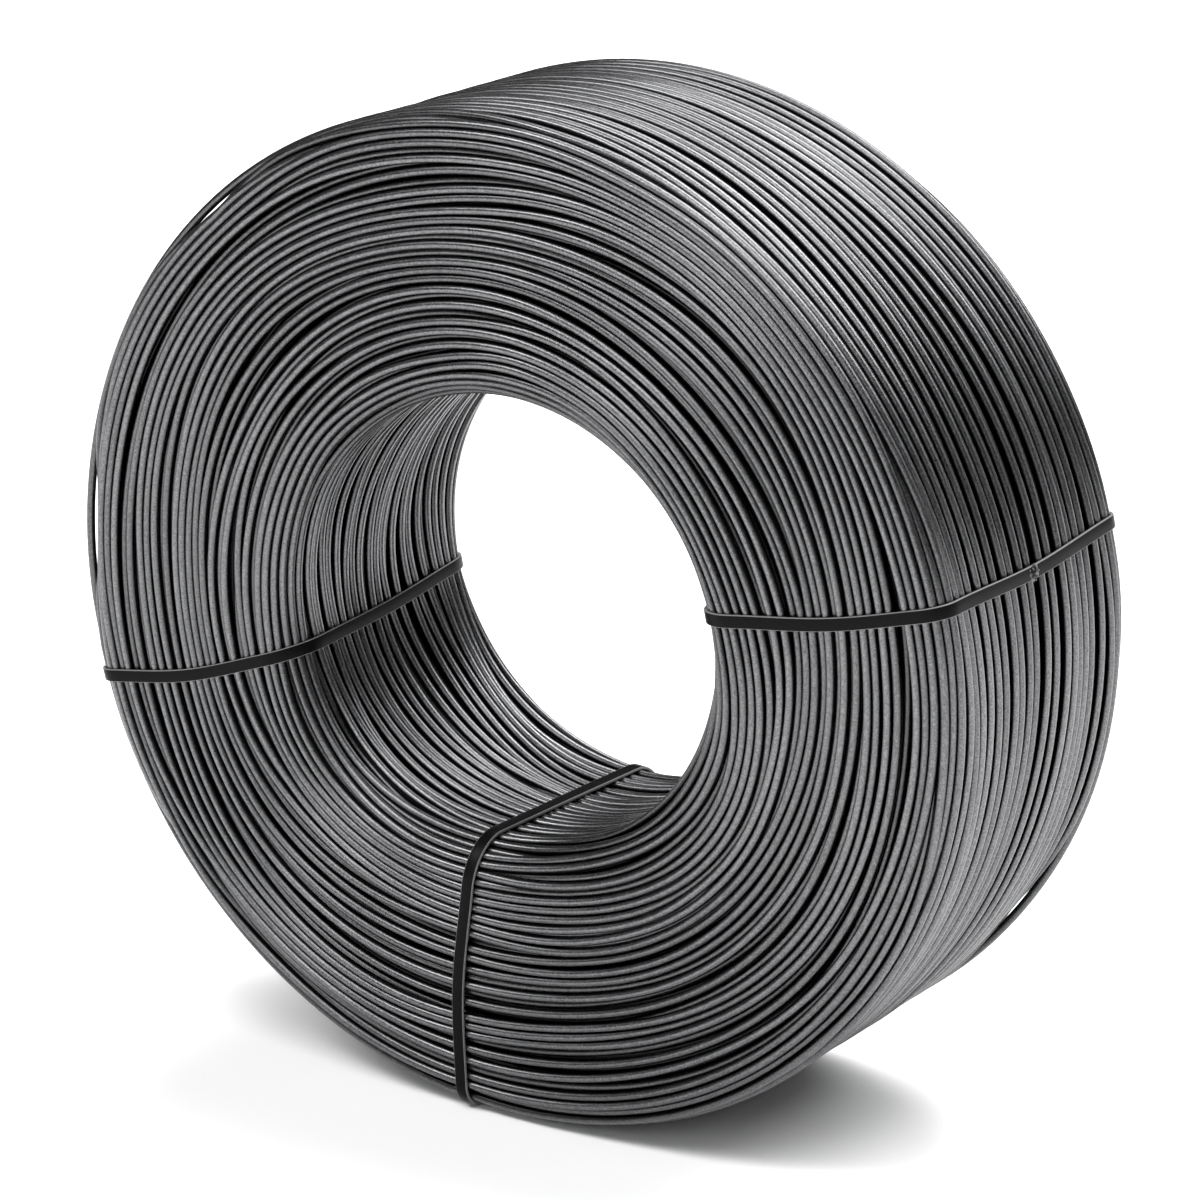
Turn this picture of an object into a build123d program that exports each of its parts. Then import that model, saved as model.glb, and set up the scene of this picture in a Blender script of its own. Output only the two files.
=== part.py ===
from build123d import *
import math
import os

# A coil of black annealed tie wire, held by three flat straps and standing on its rim.
# The coil's axis runs along Y, its front end faces -Y and the floor is z = 0, below its middle.

# The wound wire
wire_diameter = 1.6
turns_in_ridge = 2
ridge_gap = 1.5
groove_depth = 1.1
sunk_ridge_step = 3
ridge_sink = 0.5
coil_radius = 90.0
coil_width = 63.0
bore_radius = 40.0
rim_corner_radius = 4.5
bore_corner_radius = 8.0

# The straps, seen from the front and turning from +X towards +Z
strap_width = 2.3
strap_thickness = 0.6
strap_proud = 0.2
lap_length = 14.0
strap_angle_right = 12.6
strap_angle_left = 194.4

ridge_spacing = turns_in_ridge * wire_diameter + ridge_gap
strap_bed = strap_thickness - strap_proud

# The lower strap stands beside the line on which the rim meets the floor, so that its near edge
# just reaches the floor too
strap_edge_radius = math.hypot(coil_radius + strap_proud, strap_width / 2)
strap_edge_angle = math.degrees(math.atan2(strap_width / 2, coil_radius + strap_proud))
lower_strap_lean = math.degrees(math.acos(coil_radius / strap_edge_radius)) + strap_edge_angle
strap_angle_bottom = 270 - lower_strap_lean


def end_outline():
    """The front end in half section, from the bore's wall over both rounded edges to the rim."""
    front = -coil_width / 2
    bore_edge = CenterArc(
        (bore_radius + bore_corner_radius, front + bore_corner_radius), bore_corner_radius, 180, 90
    )
    rim_edge = CenterArc(
        (coil_radius - rim_corner_radius, front + rim_corner_radius), rim_corner_radius, 270, 90
    )
    return Wire([bore_edge, Line(bore_edge @ 1, rim_edge @ 0), rim_edge])


def end_turns():
    """The front end's ridges, each of a few turns side by side, and the grooves between them.

    Some of the ridges, evenly spread, lie a little lower, as loosely wound turns do.
    """
    outline = end_outline()
    ridges = round(outline.length / ridge_spacing)
    points = []
    for ridge in range(ridges):
        sunk = ridge_sink if ridge % sunk_ridge_step == 1 else 0
        for step, inset in ((ridge, sunk), (ridge + 0.5, groove_depth)):
            tangent = outline % (step / ridges)
            inward = Vector(-tangent.Y, tangent.X)
            points.append(outline @ (step / ridges) + inward * inset)
    points.append(outline @ 1)
    return points


def wound_wire():
    """The whole coil as one turned solid, with its bore, and with its turns on both ends."""
    front = end_turns()
    back = [Vector(point.X, -point.Y) for point in reversed(front)]
    half_section = make_face(Polyline(*front, *back, close=True))
    return revolve(half_section, Axis.Y)


def rounded_section(growth):
    """The coil's half section over the crests of its turns, grown by one amount on every side."""
    middle = (coil_radius + bore_radius) / 2
    depth = coil_radius - bore_radius + 2 * growth
    section = Pos(middle, 0) * Rectangle(depth, coil_width + 2 * growth)
    bore_side = section.vertices().group_by(Axis.X)[0]
    section = fillet(bore_side, bore_corner_radius + growth)
    rim_side = section.vertices().group_by(Axis.X)[-1]
    return fillet(rim_side, rim_corner_radius + growth)


def strap(angle):
    """A closed band round the coil's section, its welded lap on the rim, turned to its place."""
    band = rounded_section(strap_proud) - rounded_section(-strap_bed)
    under_end = coil_radius - strap_bed - strap_thickness / 2
    lap = Pos(under_end, 0) * Rectangle(strap_thickness, lap_length)
    return Rot(Y=-angle) * extrude(band + lap, strap_width / 2, both=True)


straps = {
    "strap_right": strap(strap_angle_right),
    "strap_left": strap(strap_angle_left),
    "strap_bottom": strap(strap_angle_bottom),
}

# Each strap lies in a bed of its own shape, pressed into the turns
wire_coil = wound_wire()
for band in straps.values():
    wire_coil -= band

os.makedirs("parts", exist_ok=True)
for name, shape in {"wire_coil": wire_coil, **straps}.items():
    export_step(Pos(0, 0, coil_radius) * shape, f"parts/{name}.step")
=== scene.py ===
import math

import bmesh
import bpy
import numpy as np
from mathutils import Matrix, Vector, noise


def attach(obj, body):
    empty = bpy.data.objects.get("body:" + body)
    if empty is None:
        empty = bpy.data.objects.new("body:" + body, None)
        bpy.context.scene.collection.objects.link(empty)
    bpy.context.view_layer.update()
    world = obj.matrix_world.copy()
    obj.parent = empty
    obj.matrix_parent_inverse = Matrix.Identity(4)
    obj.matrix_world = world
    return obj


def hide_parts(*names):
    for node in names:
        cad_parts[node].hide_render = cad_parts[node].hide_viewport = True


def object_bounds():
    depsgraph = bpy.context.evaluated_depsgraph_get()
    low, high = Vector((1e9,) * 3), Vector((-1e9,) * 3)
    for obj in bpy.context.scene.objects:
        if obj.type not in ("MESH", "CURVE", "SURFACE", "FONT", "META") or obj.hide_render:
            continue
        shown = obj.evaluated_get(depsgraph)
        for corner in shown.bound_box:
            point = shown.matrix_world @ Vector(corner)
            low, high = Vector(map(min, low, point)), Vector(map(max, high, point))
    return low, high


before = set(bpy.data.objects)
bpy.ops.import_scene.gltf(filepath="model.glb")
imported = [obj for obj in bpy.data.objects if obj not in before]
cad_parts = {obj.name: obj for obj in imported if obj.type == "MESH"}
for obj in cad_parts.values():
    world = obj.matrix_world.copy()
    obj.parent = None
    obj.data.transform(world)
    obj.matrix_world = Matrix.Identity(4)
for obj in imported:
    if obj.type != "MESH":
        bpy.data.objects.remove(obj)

# A coil of annealed tie wire that stands on its rim, its turns laid one by one over the solid ring.
# X is to the right seen from the front end, Y runs along the coil's axis to the back end, Z is up.
# Angles turn from +X towards +Z. Sizes are in metres.
CAD_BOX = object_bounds()
MM = 0.001

# The wire, and into how many sections its rings are cut round the coil
WIRE_RADIUS = 0.8 * MM
SECTIONS = 190

# The coil's half section over its straps: the radius at the bore, at the rim, and the rounded edges
BORE_RADIUS = 39.9 * MM
RIM_RADIUS = 89.7 * MM
HALF_WIDTH = 31.65 * MM
RIM_EDGE = 4.7 * MM
BORE_EDGE = 8.6 * MM
STRAP_THICKNESS = 0.6 * MM
STRAP_PROUD = 0.5 * MM
STRAP_WIDTH = 2.3 * MM

# How far out of round the loose coil is, and how softly its turns stop at the floor
CENTRE = Vector((-0.75 * MM, 0, 89.6 * MM))
RIM_OVAL = -1.47 * MM
BACK_RIM_GROWTH = 0.58 * MM
BACK_RIM_SHIFT = 0.93 * MM
BORE_OVAL = 1.23 * MM
BORE_SHIFT_X = -0.8 * MM
BORE_SHIFT_Z = 0.72 * MM
BORE_FLARE = 3.2 * MM
FLOOR_GIVE = 0.12 * MM

# The straps' places, in degrees: on the rim's middle and front edge, the front's middle, the bore's
# front edge, middle and back edge, the back's middle and the rim's back edge
STRAPS = {
    "strap_right": (11.4, 11.9, 10.6, 11.9, 12.2, 12.6, 12.6, 12.6),
    "strap_left": (194.2, 194.4, 196.6, 195.6, 194.6, 191.6, 193.2, 194.0),
    "strap_bottom": (265.8, 266.3, 264.3, 265.8, 265.4, 265.2, 265.4, 265.6),
}
# A strap's steps round the outline, how many waves its bends keep, its rounded edges, and how far the
# turns under it are pressed below its inner face
STRAP_STEPS = 240
STRAP_EASE = 7
STRAP_ROUNDING = 0.25 * STRAP_THICKNESS
STRAP_PINCH = 0.02 * MM

# The bead of a strap's weld: its place from the rim's middle, its depth and half sizes, and its lumps,
# with a painted highlight on those that stand out
WELD_PLACE = 1.3 * MM
WELD_DEPTH = 0.06 * MM
WELD_SIZE = Vector((0.32 * MM, 1.3 * MM, 1.2 * MM))
WELD_LUMP_PITCH = 2.6
WELD_LUMP_HEIGHT = 0.55
WELD_LUMP_PAINTED_HIGHLIGHT = 2.2

# How the turns lie: the turns on the surface, those that show between them and the dark ones below.
# Gaps are given as the share of turns that touch, and the narrowest and widest gap of the others.
SURFACE_DEPTH = STRAP_PROUD + WIRE_RADIUS
SURFACE_DIP = 0.3675 * MM
TOUCHING_GAP = 0.12 * MM
OPEN_GAP = 0.25 * MM
END_GAPS = (0.40, 0.45 * MM, 1.4 * MM)
RIM_GAPS = (0.12, 0.8 * MM, 1.9 * MM)
BETWEEN_PLACE = (0.3, 0.7)
END_BETWEEN = (0.5 * MM, 1.5 * MM)
RIM_BETWEEN = (1.2 * MM, 2.1 * MM)
LOWEST_PITCH = 1.75 * MM
LOWEST_DEPTH = SURFACE_DEPTH + 2.8 * MM
LOWEST_JITTER = 0.2
CORE_DEPTH = 5.6 * MM
CORE_SECTIONS = 96
CORE_CORNERS = 60
LAYER_SIDES = {"surface": 10, "between": 8, "lowest": 6}
SIDE_LIMIT = 0.7
SEED = 7

# Where turns are rubbed bright, with painted shade on their sides that face the turns beside them: from
# how far round their own section, and how fast, on the rim and on the ends, and how much painted shade
# darkens them with their depth under the surface
RIM_WEAR_AND_SHADE = (0.1, 0.55, 1.0)
END_WEAR_AND_SHADE = (0.1, 0.85, 1.5)
LOOSE_WEAR_AND_SHADE = 0.7
PAINTED_SHADE_DEPTH = 2.0 * MM
PAINTED_SHADE_DARKNESS = 0.85
PAINTED_SHADE_POWER = 1.5

# How turns wander: waves that turns share with their neighbours, their own, which are calmer on the
# rim, and their own depth
DRIFT = 1.1 * MM
DRIFT_REACH = 7.0
OWN_WANDER = 0.45 * MM
RIM_CALM = 0.6
OWN_DEPTH = 0.15 * MM

# How turns that lie in each other are pushed apart, and how near a strap they are squeezed
SETTLE_ROUNDS = 90
NEIGHBOURS = 8
PUSH_SHARE = 0.55
HOME_SHARE = 0.015
STIFFNESS = 22
STRAP_REACH = math.radians(3.0)

# Loose turns that stand off the others at the rim's edge: the angle, the reach in degrees, the gap
LOOSE_TURNS = ((176.0, 9.0, 0.55 * MM), (131.0, 5.0, 0.3 * MM), (-37.0, 4.5, 0.25 * MM))

# The camera
VIEW_BACK = Vector((0.5130, -0.8073, 0.2919)).normalized()
CAMERA = CENTRE + VIEW_BACK * 741.8 * MM
LENS = 126.23
SHIFT = (0.01178, -0.00846)

# The wide lights: the way to each, how many degrees it fills and its strength
SKIES = {
    "front top sky": ((0.15, -0.5, 0.85), 30, 1.8),
    "left sky": ((-0.5, -0.6, 0.9), 20, 1.6),
    "top sky": ((-0.1, 0.45, 1.0), 36, 2.6),
    "top right sky": ((0.35, 0.5, 0.85), 42, 2.8),
    "right sky": ((0.7, 0.5, 0.7), 45, 0.5),
    "front sky": ((0.0, -0.9, 0.45), 25, 0.8),
}

random = np.random.default_rng(SEED)
angles = np.arange(SECTIONS) * 2 * math.pi / SECTIONS


def outline_length():
    """The length of the line round the half section."""
    straight = 2 * (RIM_RADIUS - BORE_RADIUS) + 4 * HALF_WIDTH
    return straight + (math.pi - 4) * (RIM_EDGE + BORE_EDGE)


def outline_point(along, depth):
    """The radius and y of points so far along the outline and so deep under it.

    It starts on the rim's middle and goes to the front end, the bore and the back end.
    """
    half = HALF_WIDTH - RIM_EDGE
    face = RIM_RADIUS - BORE_RADIUS - RIM_EDGE - BORE_EDGE
    bore = 2 * (HALF_WIDTH - BORE_EDGE)
    rim_centre = RIM_RADIUS - RIM_EDGE
    bore_centre = BORE_RADIUS + BORE_EDGE
    front = -HALF_WIDTH
    runs = [
        ("line", half, (RIM_RADIUS, 0), (0, -1)),
        ("turn", RIM_EDGE, (rim_centre, front + RIM_EDGE), 0),
        ("line", face, (rim_centre, front), (-1, 0)),
        ("turn", BORE_EDGE, (bore_centre, front + BORE_EDGE), 90),
        ("line", bore, (BORE_RADIUS, front + BORE_EDGE), (0, 1)),
        ("turn", BORE_EDGE, (bore_centre, -front - BORE_EDGE), 180),
        ("line", face, (bore_centre, -front), (1, 0)),
        ("turn", RIM_EDGE, (rim_centre, -front - RIM_EDGE), 270),
        ("line", half, (RIM_RADIUS, half), (0, -1)),
    ]
    along = np.mod(along, outline_length())
    radius = np.zeros_like(along)
    y = np.zeros_like(along)
    start = 0.0
    for kind, size, place, way in runs:
        length = size if kind == "line" else size * math.pi / 2
        here = (along >= start) & (along < start + length + 1e-12)
        step = along - start
        if kind == "line":
            inward = (way[1], -way[0])
            r_here = place[0] + way[0] * step + inward[0] * depth
            y_here = place[1] + way[1] * step + inward[1] * depth
        else:
            turned = math.radians(way) + step / size
            r_here = place[0] + (size - depth) * np.cos(turned)
            y_here = place[1] - (size - depth) * np.sin(turned)
        radius = np.where(here, r_here, radius)
        y = np.where(here, y_here, y)
        start += length
    return radius, y


def surface_depth(radius, y):
    """How deep points of the half section lie under the outline, and the way to it."""
    middle = (RIM_RADIUS + BORE_RADIUS) / 2
    edge = np.where(radius > middle, RIM_EDGE, BORE_EDGE)
    side_r = np.sign(radius - middle)
    side_y = np.sign(y)
    past_r = np.abs(radius - middle) - (RIM_RADIUS - BORE_RADIUS) / 2 + edge
    past_y = np.abs(y) - HALF_WIDTH + edge
    corner = (past_r > 0) & (past_y > 0)
    reach = np.hypot(np.maximum(past_r, 0), np.maximum(past_y, 0))
    safe = np.maximum(reach, 1e-9)
    deeper_r = past_r > past_y
    way_r = np.where(corner, past_r / safe, np.where(deeper_r, 1.0, 0.0)) * side_r
    way_y = np.where(corner, past_y / safe, np.where(deeper_r, 0.0, 1.0)) * side_y
    depth = edge - np.where(corner, reach, np.maximum(past_r, past_y))
    return depth, way_r, way_y


def out_of_round(radius, y, angle):
    """Points of the half section at an angle, brought to the loose coil's real shape."""
    rim_share = (radius - BORE_RADIUS) / (RIM_RADIUS - BORE_RADIUS)
    bore_share = 1 - rim_share
    back = (y + HALF_WIDTH) / (2 * HALF_WIDTH)
    grown = radius + rim_share * (RIM_OVAL * np.sin(2 * angle) + BACK_RIM_GROWTH * back)
    grown = grown + bore_share * (BORE_OVAL * np.cos(2 * angle) + BORE_FLARE * back)
    x = CENTRE.x + grown * np.cos(angle) + rim_share * BACK_RIM_SHIFT * back
    z = CENTRE.z + grown * np.sin(angle) + bore_share * BORE_SHIFT_Z
    return np.stack([x + bore_share * BORE_SHIFT_X, y, z], axis=-1)


def keep_in_box(points, thickness):
    """Points moved inside the solid ring's box by their own thickness, with a soft stop at the floor."""
    low, high = (np.array(corner) for corner in CAD_BOX)
    inside = points.copy()
    above = (points[..., 2] - low[2] - thickness) / FLOOR_GIVE
    inside[..., 2] = low[2] + thickness + FLOOR_GIVE * np.logaddexp(0, above)
    return np.clip(inside, low + thickness, high - thickness)


def waves(count, size, lowest, highest):
    """Smooth seeded waves round the coil, one row for each turn."""
    total = np.zeros((count, SECTIONS))
    for number in range(lowest, highest + 1):
        height = random.normal(0, 1, (count, 1)) / number ** 0.5
        shift = random.uniform(0, 2 * math.pi, (count, 1))
        total += height * np.cos(number * angles + shift)
    return total * size / np.std(total)


def shared(field, reach):
    """The same waves, alike in turns that lie near each other."""
    count = field.shape[0]
    near = np.minimum(np.arange(count), count - np.arange(count))
    weight = np.exp(-0.5 * (near / reach) ** 2)
    mixed = np.fft.ifft(np.fft.fft(field, axis=0) * np.fft.fft(weight)[:, None], axis=0).real
    return mixed * np.std(field) / np.std(mixed)


def strap_squeeze():
    """How much each section is squeezed by a strap, from 0 to 1."""
    squeeze = np.zeros(SECTIONS)
    for places in STRAPS.values():
        away = np.angle(np.exp(1j * (angles - math.radians(places[1]))))
        squeeze = np.maximum(squeeze, np.exp(-0.5 * (away / STRAP_REACH) ** 2))
    return squeeze


def smooth_round(field, highest):
    """A field with only its slow waves round the coil kept."""
    spectrum = np.fft.rfft(field, axis=1)
    number = np.arange(spectrum.shape[1])
    return np.fft.irfft(spectrum / (1 + (number / highest) ** 6), SECTIONS, axis=1)


def spread_turns():
    """Where turns start along the outline, how deep, and in which layer.

    On the surface some turns touch and others leave a gap, which shows a turn that lies lower.
    """
    length = outline_length()
    places = [0.0]
    gaps = []
    between_depths = []
    while places[-1] < length:
        radius, y = outline_point(np.array([places[-1]]), 0.0)
        on_end = abs(y[0]) > HALF_WIDTH - RIM_EDGE / 2
        touching, least, most = END_GAPS if on_end else RIM_GAPS
        gap = random.uniform(least, most)
        if random.uniform(0, 1) < touching:
            gap = random.uniform(0, TOUCHING_GAP)
        gaps.append(gap)
        between_depths.append(random.uniform(*(END_BETWEEN if on_end else RIM_BETWEEN)))
        places.append(places[-1] + 2 * WIRE_RADIUS + gap)
    step = 2 * WIRE_RADIUS + np.array(gaps)
    step *= length / step.sum()
    surface = np.cumsum(step) - step
    count = len(surface)
    surface_deep = SURFACE_DEPTH + SURFACE_DIP * random.uniform(0, 1, count) ** 2
    open_gap = np.flatnonzero(step > 2 * WIRE_RADIUS + OPEN_GAP)
    between = surface[open_gap] + step[open_gap] * random.uniform(*BETWEEN_PLACE, len(open_gap))
    between_deep = SURFACE_DEPTH + np.array(between_depths)[open_gap]
    lowest_count = round(length / LOWEST_PITCH)
    jitter = random.uniform(-LOWEST_JITTER, LOWEST_JITTER, lowest_count)
    lowest = (np.arange(lowest_count) + jitter) * length / lowest_count
    lowest_deep = np.full(lowest_count, LOWEST_DEPTH)
    along = np.concatenate([surface, between, lowest])
    deep = np.concatenate([surface_deep, between_deep, lowest_deep])
    layer = np.repeat(list(LAYER_SIDES), [len(surface), len(between), len(lowest)])
    order = np.argsort(along)
    return along[order], deep[order], layer[order]


def lay_turns():
    """The radius and y of every turn in every section, its layer, and whether it stands loose."""
    start, deep, layer = spread_turns()
    count = len(start)
    start_radius, start_y = outline_point(start, 0.0)
    calm = np.where(start_radius > RIM_RADIUS - RIM_EDGE, RIM_CALM, 1.0)[:, None]
    drift = shared(waves(count, DRIFT, 1, 4), DRIFT_REACH)
    along = start[:, None] + drift + calm * waves(count, OWN_WANDER, 1, 5)
    depth = deep[:, None] + waves(count, OWN_DEPTH, 1, 4)
    base = np.stack(outline_point(along, depth))
    limit = SURFACE_DEPTH + strap_squeeze() * (STRAP_THICKNESS - STRAP_PROUD + STRAP_PINCH)
    rows = loose_rows(base, layer == "surface")
    radius, y = settle(base, limit, rows)
    loose = np.zeros(count, bool)
    loose[[row for row, way, room in rows]] = True
    return radius, y, layer, loose


def edge_on(angle):
    """The way in the half section in which the coil's edge is seen against the background."""
    seen = CAMERA - CENTRE - RIM_RADIUS * Vector((math.cos(angle), 0, math.sin(angle)))
    along_r = seen.x * math.cos(angle) + seen.z * math.sin(angle)
    way = np.array([-seen.y, along_r]) / math.hypot(seen.y, along_r)
    return way if way[0] > 0 else -way


def loose_rows(base, on_surface):
    """Each loose turn: its row, the way it stands off, and its room in every section."""
    rows = []
    for place, reach, gap in LOOSE_TURNS:
        angle = math.radians(place)
        section = round(angle / (2 * math.pi) * SECTIONS) % SECTIONS
        way = edge_on(angle)
        height = base[0, :, section] * way[0] + base[1, :, section] * way[1]
        row = int(np.argmax(np.where(on_surface, height, -1)))
        away = np.abs(np.angle(np.exp(1j * (angles - angle)))) / math.radians(reach)
        rows.append((row, way, (2 * WIRE_RADIUS + gap) * np.clip(1 - away ** 2, 0, None) ** 0.5))
    return rows


def stand_off(place, loose):
    """Other turns pressed back where a loose turn stands off them."""
    for row, way, room in loose:
        height = place[0] * way[0] + place[1] * way[1]
        excess = height - (height[row] - room)
        excess = np.where(room > 0, np.clip(excess, 0, None), 0)
        excess[row] = 0
        move = np.where(excess < room.max() + WIRE_RADIUS, excess, 0)
        place[0] -= way[0] * move
        place[1] -= way[1] * move


def settle(base, limit, loose):
    """Turns pushed apart where they lie in each other, and kept under the coil's surface."""
    gap = 2 * WIRE_RADIUS
    place = base.copy()
    for round_number in range(SETTLE_ROUNDS):
        push = np.zeros_like(place)
        for step in range(1, NEIGHBOURS + 1):
            apart = np.roll(place, -step, axis=1) - place
            distance = np.maximum(np.hypot(*apart), 1e-7)
            move = apart / distance * np.clip(gap - distance, 0, None) / 2
            push -= move
            push += np.roll(move, step, axis=1)
        place += PUSH_SHARE * push + HOME_SHARE * (base - place)
        shift = place - base
        place = base + np.stack([smooth_round(shift[0], STIFFNESS), smooth_round(shift[1], STIFFNESS)])
        stand_off(place, loose)
        depth, way_r, way_y = surface_depth(*place)
        out = np.clip(limit - depth, 0, None)
        place -= np.stack([way_r * out, way_y * out])
    return place


def wear_and_painted_shade(facing, on_end, sunk_shade, loose):
    """How bright turns are rubbed, with painted shade: 1 where they face out of the surface, darker on
    their sides, and 0 deep between turns.
    """
    rim_start, rim_reach, rim_power = RIM_WEAR_AND_SHADE
    end_start, end_reach, end_power = END_WEAR_AND_SHADE
    on_rim_worn_and_shaded = np.clip((facing - rim_start) / rim_reach, 0, 1) ** rim_power
    on_end_worn_and_shaded = np.clip((facing - end_start) / end_reach, 0, 1) ** end_power
    worn_and_shaded = on_rim_worn_and_shaded + (on_end_worn_and_shaded - on_rim_worn_and_shaded) * on_end
    return np.maximum(worn_and_shaded * (1 - PAINTED_SHADE_DARKNESS * sunk_shade ** PAINTED_SHADE_POWER), loose * LOOSE_WEAR_AND_SHADE)


def ring_mesh(name, rows, outward, deep, loose, sides):
    """Plain rings of wire side by side, each then slid to the places of its own turn.

    Its attributes are each turn's own tone, and how far the turns are worn, with painted shade on their
    sides and deep between turns.
    """
    mandrel = RIM_RADIUS
    spacing = 10 * MM
    bm = bmesh.new()
    for number in range(len(rows)):
        place = Matrix.Translation((mandrel, number * spacing, 0))
        bmesh.ops.create_circle(bm, segments=sides, radius=WIRE_RADIUS, matrix=place)
    bmesh.ops.spin(
        bm, geom=bm.verts[:] + bm.edges[:], cent=(0, 0, 0), axis=(0, 1, 0), dvec=(0, 0, 0),
        angle=-2 * math.pi, steps=SECTIONS, use_merge=True,
    )
    bmesh.ops.recalc_face_normals(bm, faces=bm.faces[:])
    mesh = bpy.data.meshes.new(name)
    bm.to_mesh(mesh)
    bm.free()
    points = np.empty(len(mesh.vertices) * 3)
    mesh.vertices.foreach_get("co", points)
    points = points.reshape(-1, 3)
    number = np.rint(points[:, 1] / spacing).astype(int)
    angle = np.arctan2(points[:, 2], points[:, 0])
    section = np.rint(angle / (2 * math.pi) * SECTIONS).astype(int) % SECTIONS
    out = np.hypot(points[:, 0], points[:, 2]) - mandrel
    aside = points[:, 1] - number * spacing
    centres = rows[number, section]
    exact = angles[section]
    placed = centres + np.stack([out * np.cos(exact), aside, out * np.sin(exact)], axis=-1)
    mesh.vertices.foreach_set("co", placed.ravel())
    tone = mesh.attributes.new("turn_tone", "FLOAT", "POINT")
    tone.data.foreach_set("value", random.uniform(0, 1, len(rows))[number].astype(np.float32))
    way_r, way_y = outward[:, number, section]
    facing = (out * way_r + aside * way_y) / WIRE_RADIUS
    sunk_shade = np.clip(deep[number, section] / PAINTED_SHADE_DEPTH, 0, 1)
    worn_and_shaded = wear_and_painted_shade(facing, np.abs(way_y), sunk_shade, loose[number])
    wear_and_shade = mesh.attributes.new("worn_and_shaded", "FLOAT", "POINT")
    wear_and_shade.data.foreach_set("value", worn_and_shaded.astype(np.float32))
    mesh.shade_smooth()
    mesh.update()
    return mesh


def piece(name, mesh, node, material):
    """A finished piece that stands for a CAD node."""
    shape = bpy.data.objects.new(name, mesh)
    bpy.context.scene.collection.objects.link(shape)
    mesh.materials.clear()
    mesh.materials.append(material)
    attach(shape, "root")
    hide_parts(node)
    return shape


def build_turns(wire):
    """The turns of each layer, in pieces by the side of the coil where they lie."""
    radius, y, layer, loose = lay_turns()
    centres = keep_in_box(out_of_round(radius, y, angles[None, :]), WIRE_RADIUS)
    depth, way_r, way_y = surface_depth(radius, y)
    outward = np.stack([way_r, way_y])
    mean_r = way_r.mean(axis=1)
    mean_y = y.mean(axis=1)
    sides = {
        "rim": mean_r > SIDE_LIMIT,
        "bore": mean_r < -SIDE_LIMIT,
        "front": (np.abs(mean_r) <= SIDE_LIMIT) & (mean_y < 0),
        "back": (np.abs(mean_r) <= SIDE_LIMIT) & (mean_y > 0),
    }
    for side, chosen in sides.items():
        for level, corners in LAYER_SIDES.items():
            own = chosen & (layer == level)
            name = f"{side}_turns_{level}"
            deep = depth[own] - SURFACE_DEPTH
            mesh = ring_mesh(name, centres[own], outward[:, own], deep, loose[own], corners)
            piece(name, mesh, "wire_coil", wire)


def strap_angles(places):
    """A strap's angle at every step round the outline, eased from one given place to the next."""
    face = RIM_RADIUS - BORE_RADIUS
    stations = np.array([0, HALF_WIDTH, HALF_WIDTH + face / 2, HALF_WIDTH + face, 2 * HALF_WIDTH + face,
                         3 * HALF_WIDTH + face, 3 * HALF_WIDTH + 1.5 * face, 3 * HALF_WIDTH + 2 * face])
    around = 2 * face + 4 * HALF_WIDTH
    degrees = np.interp(np.arange(STRAP_STEPS) * around / STRAP_STEPS, stations, places, period=around)
    spectrum = np.fft.rfft(degrees)
    eased = spectrum / (1 + (np.arange(len(spectrum)) / STRAP_EASE) ** 4)
    return np.radians(np.fft.irfft(eased, STRAP_STEPS))


def hoop_mesh(name, places):
    """A plain hoop of flat band with rounded edges, then drawn round the coil's section."""
    mandrel = 34 * MM
    turned = strap_angles(places)
    bm = bmesh.new()
    bmesh.ops.create_grid(bm, x_segments=1, y_segments=1, size=0.5)
    bmesh.ops.scale(bm, vec=(STRAP_THICKNESS, STRAP_WIDTH, 1), verts=bm.verts[:])
    bmesh.ops.bevel(
        bm, geom=bm.verts[:], affect="VERTICES", offset=STRAP_ROUNDING, segments=3, profile=0.5,
        material=-1,
    )
    bmesh.ops.delete(bm, geom=bm.faces[:], context="FACES_ONLY")
    bmesh.ops.translate(bm, vec=(mandrel, 0, 0), verts=bm.verts[:])
    bmesh.ops.spin(
        bm, geom=bm.verts[:] + bm.edges[:], cent=(0, 0, 0), axis=(0, 1, 0), dvec=(0, 0, 0),
        angle=-2 * math.pi, steps=STRAP_STEPS, use_merge=True,
    )
    # The band's rounded edges are marked to be coloured lighter: rubbed, and a painted highlight along
    # them.
    edge = STRAP_WIDTH / 2 - 0.8 * STRAP_ROUNDING
    rubbed_and_painted_light = [float(abs(vert.co.y) > edge) for vert in bm.verts]
    for vert in bm.verts:
        step = round(math.atan2(vert.co.z, vert.co.x) / (2 * math.pi) * STRAP_STEPS) % STRAP_STEPS
        along = step / STRAP_STEPS * outline_length()
        out = math.hypot(vert.co.x, vert.co.z) - mandrel
        angle = turned[step]
        radius, y = outline_point(np.array([along]), STRAP_THICKNESS / 2 - out)
        aside = np.array([-math.sin(angle), 0, math.cos(angle)])
        place = out_of_round(radius, y, angle)[0] + aside * vert.co.y
        vert.co = Vector(keep_in_box(place, 0.0))
    bmesh.ops.recalc_face_normals(bm, faces=bm.faces[:])
    mesh = bpy.data.meshes.new(name)
    bm.to_mesh(mesh)
    bm.free()
    lighter = mesh.attributes.new("rubbed_and_painted_light", "FLOAT", "POINT")
    lighter.data.foreach_set("value", rubbed_and_painted_light)
    mesh.shade_smooth()
    return mesh


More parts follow.
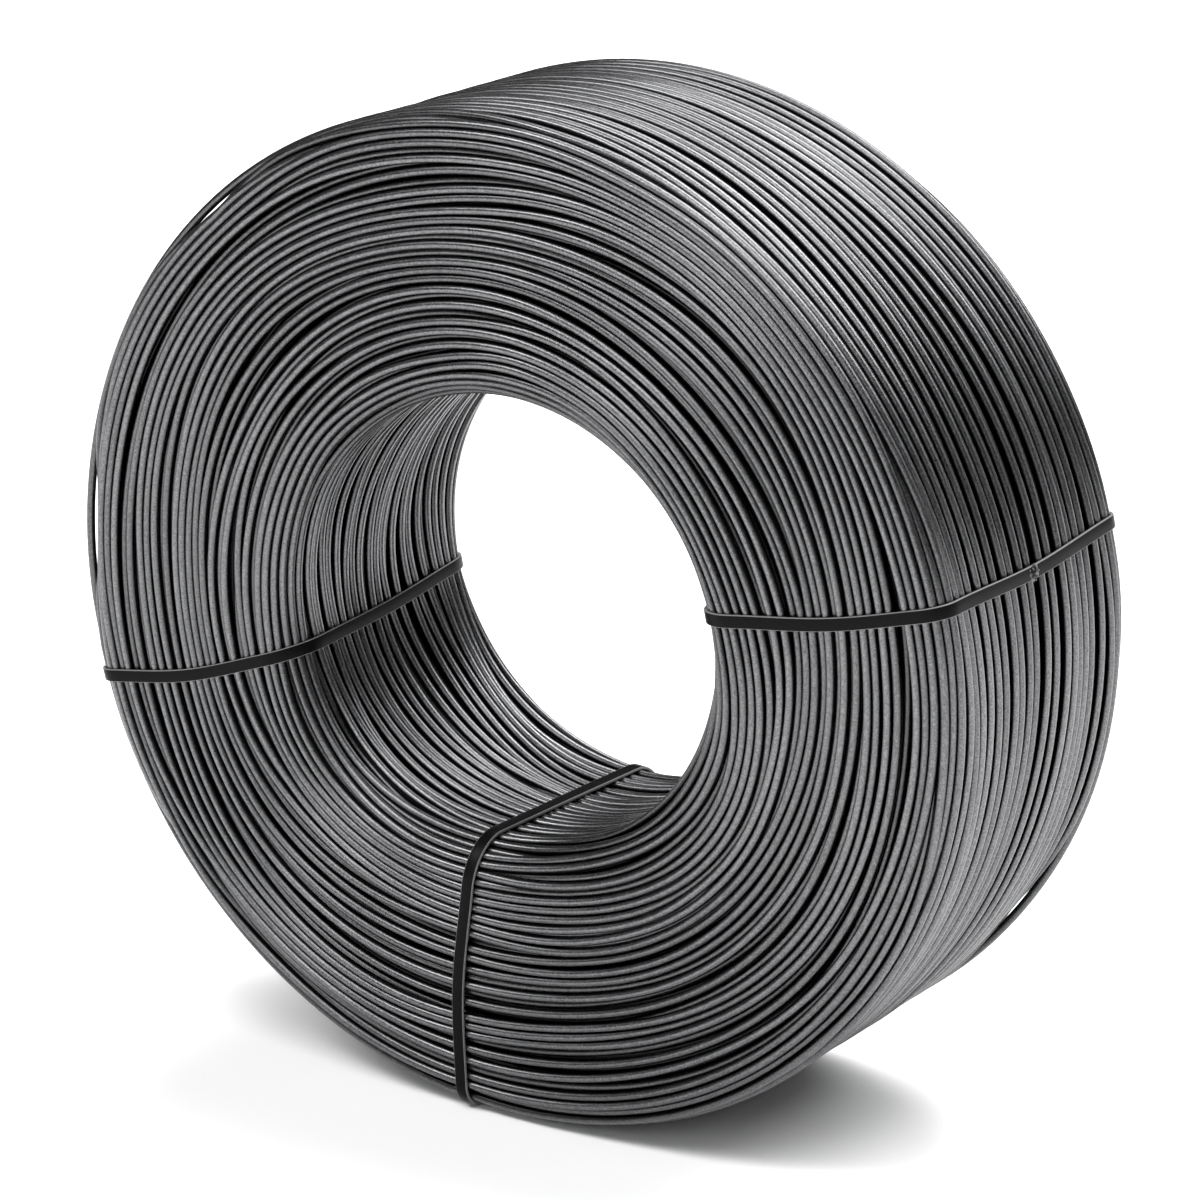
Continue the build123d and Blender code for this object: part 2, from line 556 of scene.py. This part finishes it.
def weld_mesh(name, places):
    """The lumpy bead of melted plastic where a strap's ends are welded together, on its outer face."""
    step = round(WELD_PLACE / outline_length() * STRAP_STEPS) % STRAP_STEPS
    angle = strap_angles(places)[step]
    radius, y = outline_point(np.array([WELD_PLACE]), WELD_DEPTH)
    middle = out_of_round(radius, y, angle)[0]
    bm = bmesh.new()
    bmesh.ops.create_icosphere(bm, subdivisions=4, radius=1)
    rubbed_and_painted_light = []
    for vert in bm.verts:
        # Lumps that stand out are coloured lighter: a painted highlight on the bead.
        lumps = noise.noise(vert.co * WELD_LUMP_PITCH + Vector((places[0], 0, 0)))
        rubbed_and_painted_light.append(min(max(WELD_LUMP_PAINTED_HIGHLIGHT * lumps, 0.0), 1.0))
        vert.co *= 1 + WELD_LUMP_HEIGHT * lumps
    bmesh.ops.scale(bm, vec=WELD_SIZE, verts=bm.verts[:])
    bmesh.ops.rotate(bm, cent=(0, 0, 0), matrix=Matrix.Rotation(-angle, 3, "Y"), verts=bm.verts[:])
    for vert in bm.verts:
        vert.co = Vector(keep_in_box(np.array(vert.co) + middle, 0.0))
    mesh = bpy.data.meshes.new(name)
    bm.to_mesh(mesh)
    bm.free()
    lighter = mesh.attributes.new("rubbed_and_painted_light", "FLOAT", "POINT")
    lighter.data.foreach_set("value", rubbed_and_painted_light)
    mesh.shade_smooth()
    return mesh


def build_straps(plastic):
    """The straps' bands and the beads of their welds."""
    for name, places in STRAPS.items():
        band = hoop_mesh(name + "_band", places)
        piece(name + "_band", band, name, plastic)
        bead = weld_mesh(name + "_weld", places)
        piece(name + "_weld", bead, name, plastic)


def build_core(wire):
    """The turns that lie too deep to be told apart."""
    bm = bmesh.new()
    length = outline_length()
    bmesh.ops.create_circle(bm, segments=CORE_CORNERS, radius=1)
    for vert in bm.verts:
        along = math.atan2(vert.co.y, vert.co.x) / (2 * math.pi) * length
        radius, y = outline_point(np.array([along]), CORE_DEPTH)
        vert.co = Vector((radius[0], y[0], 0))
    bmesh.ops.spin(
        bm, geom=bm.verts[:] + bm.edges[:], cent=(0, 0, 0), axis=(0, 1, 0), dvec=(0, 0, 0),
        angle=-2 * math.pi, steps=CORE_SECTIONS, use_merge=True,
    )
    for vert in bm.verts:
        radius = math.hypot(vert.co.x, vert.co.z)
        angle = math.atan2(vert.co.z, vert.co.x)
        vert.co = Vector(out_of_round(np.array([radius]), np.array([vert.co.y]), angle)[0])
    bmesh.ops.recalc_face_normals(bm, faces=bm.faces[:])
    mesh = bpy.data.meshes.new("inner_turns")
    bm.to_mesh(mesh)
    bm.free()
    mesh.shade_smooth()
    piece("inner_turns", mesh, "wire_coil", wire)


def new_group(name, takes, gives):
    """An empty group of shader nodes with named inputs and outputs."""
    group = bpy.data.node_groups.new(name, "ShaderNodeTree")
    for label, kind, value in takes:
        socket = group.interface.new_socket(label, in_out="INPUT", socket_type=kind)
        if value is not None:
            socket.default_value = value
    for label, kind in gives:
        group.interface.new_socket(label, in_out="OUTPUT", socket_type=kind)
    start = group.nodes.new("NodeGroupInput")
    end = group.nodes.new("NodeGroupOutput")
    return group, start, end


def math_node(tree, operation, *values):
    """One math node, each of its inputs a number or another node's output."""
    node = tree.nodes.new("ShaderNodeMath")
    node.operation = operation
    for number, value in enumerate(values):
        if isinstance(value, (int, float)):
            node.inputs[number].default_value = value
        else:
            tree.links.new(value, node.inputs[number])
    return node.outputs[0]


def noise_node(tree, vector, scale, detail, roughness):
    """A noise's value over a vector."""
    node = tree.nodes.new("ShaderNodeTexNoise")
    tree.links.new(vector, node.inputs["Vector"])
    node.inputs["Detail"].default_value = detail
    node.inputs["Roughness"].default_value = roughness
    if isinstance(scale, (int, float)):
        node.inputs["Scale"].default_value = scale
    else:
        tree.links.new(scale, node.inputs["Scale"])
    return node.outputs["Fac"]


def grain_group():
    """Fine dull grain, as mill scale or moulded plastic has, and the larger patches of its gloss."""
    group, start, end = new_group(
        "grain",
        [("Vector", "NodeSocketVector", None), ("Size", "NodeSocketFloat", 0.4 * MM),
         ("Contrast", "NodeSocketFloat", 1.0)],
        [("Grain", "NodeSocketFloat"), ("Patches", "NodeSocketFloat")],
    )
    scale = math_node(group, "DIVIDE", 1.0, start.outputs["Size"])
    fine = noise_node(group, start.outputs["Vector"], scale, 2.0, 0.65)
    spread = math_node(group, "SUBTRACT", fine, 0.5)
    spread = math_node(group, "MULTIPLY", spread, start.outputs["Contrast"])
    grain = math_node(group, "ADD", spread, 0.5)
    coarse_scale = math_node(group, "MULTIPLY", scale, 0.05)
    coarse = noise_node(group, start.outputs["Vector"], coarse_scale, 3.0, 0.55)
    group.links.new(grain, end.inputs["Grain"])
    group.links.new(coarse, end.inputs["Patches"])
    return group


def streak_group():
    """Long streaks that run round the coil with its turns, made from the place about the coil's axis."""
    group, start, end = new_group(
        "drawn streaks",
        [("Vector", "NodeSocketVector", None), ("Width", "NodeSocketFloat", 0.3 * MM)],
        [("Streak", "NodeSocketFloat")],
    )
    parts = group.nodes.new("ShaderNodeSeparateXYZ")
    group.links.new(start.outputs["Vector"], parts.inputs[0])
    x = math_node(group, "SUBTRACT", parts.outputs["X"], CENTRE.x)
    z = math_node(group, "SUBTRACT", parts.outputs["Z"], CENTRE.z)
    radius = math_node(group, "SQRT", math_node(group, "ADD", math_node(group, "MULTIPLY", x, x),
                                                math_node(group, "MULTIPLY", z, z)))
    round_scale = 9.0
    scale = math_node(group, "DIVIDE", 1.0, start.outputs["Width"])
    across = math_node(group, "MULTIPLY", radius, scale)
    aside = math_node(group, "MULTIPLY", parts.outputs["Y"], scale)
    cosine = math_node(group, "DIVIDE", x, radius)
    sine = math_node(group, "DIVIDE", z, radius)
    joined = group.nodes.new("ShaderNodeCombineXYZ")
    group.links.new(across, joined.inputs["X"])
    group.links.new(aside, joined.inputs["Y"])
    group.links.new(math_node(group, "MULTIPLY", cosine, round_scale), joined.inputs["Z"])
    lines = group.nodes.new("ShaderNodeTexNoise")
    lines.noise_dimensions = "4D"
    lines.inputs["Scale"].default_value = 1.0
    lines.inputs["Detail"].default_value = 2.0
    group.links.new(joined.outputs[0], lines.inputs["Vector"])
    group.links.new(math_node(group, "MULTIPLY", sine, round_scale), lines.inputs["W"])
    group.links.new(lines.outputs["Fac"], end.inputs["Streak"])
    return group


def place_group(tree, group, **values):
    """A group placed in a material, its inputs numbers or other nodes' outputs."""
    node = tree.nodes.new("ShaderNodeGroup")
    node.node_tree = group
    for label, value in values.items():
        if isinstance(value, (int, float)):
            node.inputs[label].default_value = value
        else:
            tree.links.new(value, node.inputs[label])
    return node


def ramp_node(tree, value, stops):
    """A colour ramp over a value, its greys a touch blue."""
    node = tree.nodes.new("ShaderNodeValToRGB")
    blueness = 1.015
    elements = node.color_ramp.elements
    while len(elements) < len(stops):
        elements.new(0.5)
    for element, (place, grey) in zip(elements, stops):
        element.position = place
        element.color = (grey, grey, grey * blueness, 1)
    tree.links.new(value, node.inputs["Fac"])
    return node.outputs["Color"]


def bump_node(tree, height, strength, distance):
    """A normal raised and sunk by a height."""
    node = tree.nodes.new("ShaderNodeBump")
    node.inputs["Strength"].default_value = strength
    node.inputs["Distance"].default_value = distance
    tree.links.new(height, node.inputs["Height"])
    return node.outputs["Normal"]


def wire_material(grain, streaks):
    """Black annealed wire: dark, dry and satin, with a fine grain and faint drawn streaks."""
    material = bpy.data.materials.new("annealed wire")
    material.use_nodes = True
    tree = material.node_tree
    shader = tree.nodes["Principled BSDF"]
    shader.inputs["Metallic"].default_value = 1.0
    where = tree.nodes.new("ShaderNodeTexCoord").outputs["Object"]
    tone = tree.nodes.new("ShaderNodeAttribute")
    tone.attribute_name = "turn_tone"
    fine = place_group(tree, grain, Vector=where, Size=0.3 * MM, Contrast=3.0)
    drawn = place_group(tree, streaks, Vector=where, Width=0.35 * MM)
    mixed = math_node(tree, "MULTIPLY", fine.outputs["Grain"], 0.6)
    mixed = math_node(tree, "ADD", mixed, math_node(tree, "MULTIPLY", drawn.outputs["Streak"], 0.2))
    mixed = math_node(tree, "ADD", mixed, math_node(tree, "MULTIPLY", tone.outputs["Fac"], 0.2))
    colour = ramp_node(tree, mixed, [(0.1, 0.075), (0.5, 0.135), (0.9, 0.23)])
    # The worn attribute darkens the colour: rubbed crests stay light, and shade is painted on the turns'
    # sides and deep between them.
    worn_and_shaded = tree.nodes.new("ShaderNodeAttribute")
    worn_and_shaded.attribute_name = "worn_and_shaded"
    rubbed_and_painted_light = ramp_node(tree, worn_and_shaded.outputs["Fac"], [(0.0, 0.1), (1.0, 1.0)])
    wear_and_shade_mix = tree.nodes.new("ShaderNodeMix")
    wear_and_shade_mix.data_type = "RGBA"
    wear_and_shade_mix.blend_type = "MULTIPLY"
    wear_and_shade_mix.inputs["Factor"].default_value = 1.0
    tree.links.new(colour, wear_and_shade_mix.inputs["A"])
    tree.links.new(rubbed_and_painted_light, wear_and_shade_mix.inputs["B"])
    tree.links.new(wear_and_shade_mix.outputs["Result"], shader.inputs["Base Color"])
    rough = math_node(tree, "MULTIPLY", fine.outputs["Grain"], 0.08)
    rough = math_node(tree, "ADD", rough, math_node(tree, "MULTIPLY", fine.outputs["Patches"], 0.12))
    tree.links.new(math_node(tree, "ADD", rough, 0.23), shader.inputs["Roughness"])
    tree.links.new(bump_node(tree, fine.outputs["Grain"], 0.5, 0.01 * MM), shader.inputs["Normal"])
    return material


def plastic_material(grain):
    """Black strap: smooth plastic, slightly glossy, and lighter where its edges are rubbed, with a
    painted highlight along them and on its weld's lumps.
    """
    material = bpy.data.materials.new("strap plastic")
    material.use_nodes = True
    tree = material.node_tree
    shader = tree.nodes["Principled BSDF"]
    where = tree.nodes.new("ShaderNodeTexCoord").outputs["Object"]
    fine = place_group(tree, grain, Vector=where, Size=0.5 * MM, Contrast=1.0)
    rubbed_and_painted_light = tree.nodes.new("ShaderNodeAttribute")
    rubbed_and_painted_light.attribute_name = "rubbed_and_painted_light"
    mixed = math_node(tree, "MULTIPLY", fine.outputs["Grain"], 0.02)
    mixed = math_node(tree, "ADD", mixed, rubbed_and_painted_light.outputs["Fac"])
    colour = ramp_node(tree, mixed, [(0.0, 0.002), (1.0, 0.16)])
    shader.inputs["Specular IOR Level"].default_value = 0.05
    tree.links.new(colour, shader.inputs["Base Color"])
    rough = math_node(tree, "MULTIPLY", fine.outputs["Patches"], 0.25)
    tree.links.new(math_node(tree, "ADD", rough, 0.25), shader.inputs["Roughness"])
    tree.links.new(bump_node(tree, fine.outputs["Grain"], 0.2, 0.03 * MM), shader.inputs["Normal"])
    return material


def camera():
    """The photograph's view."""
    data = bpy.data.cameras.new("camera")
    data.sensor_width = 36
    data.lens = LENS
    data.shift_x, data.shift_y = SHIFT
    data.clip_start = 0.05
    data.clip_end = 20
    shape = bpy.data.objects.new("camera", data)
    shape.location = CAMERA
    shape.rotation_euler = (-VIEW_BACK).to_track_quat("-Z", "Y").to_euler()
    bpy.context.scene.collection.objects.link(shape)
    bpy.context.scene.camera = shape


def sky_light(name, place, spread, strength):
    """A wide, even light from far away, so that the floor is evenly bright."""
    data = bpy.data.lights.new(name, "SUN")
    data.angle = math.radians(spread)
    data.energy = strength
    shape = bpy.data.objects.new(name, data)
    shape.location = place
    shape.rotation_euler = (-Vector(place)).to_track_quat("-Z", "Y").to_euler()
    bpy.context.scene.collection.objects.link(shape)


def studio():
    """A white floor under a dim even sky, and the wide lights that leave soft shadows."""
    bm = bmesh.new()
    bmesh.ops.create_grid(bm, x_segments=1, y_segments=1, size=6)
    mesh = bpy.data.meshes.new("floor")
    bm.to_mesh(mesh)
    bm.free()
    floor = bpy.data.objects.new("floor", mesh)
    bpy.context.scene.collection.objects.link(floor)
    white = bpy.data.materials.new("white paper")
    white.use_nodes = True
    shader = white.node_tree.nodes["Principled BSDF"]
    shader.inputs["Base Color"].default_value = (0.9, 0.9, 0.9, 1)
    shader.inputs["Roughness"].default_value = 0.9
    mesh.materials.append(white)
    world = bpy.data.worlds.new("studio")
    world.use_nodes = True
    world.node_tree.nodes["Background"].inputs["Color"].default_value = (1, 1, 1, 1)
    world.node_tree.nodes["Background"].inputs["Strength"].default_value = 0.05
    bpy.context.scene.world = world
    for name, (place, spread, strength) in SKIES.items():
        sky_light(name, place, spread, strength)
    bpy.context.scene.view_settings.view_transform = "Standard"


grain = grain_group()
wire = wire_material(grain, streak_group())
plastic = plastic_material(grain)
build_turns(wire)
build_core(wire)
build_straps(plastic)
camera()
studio()
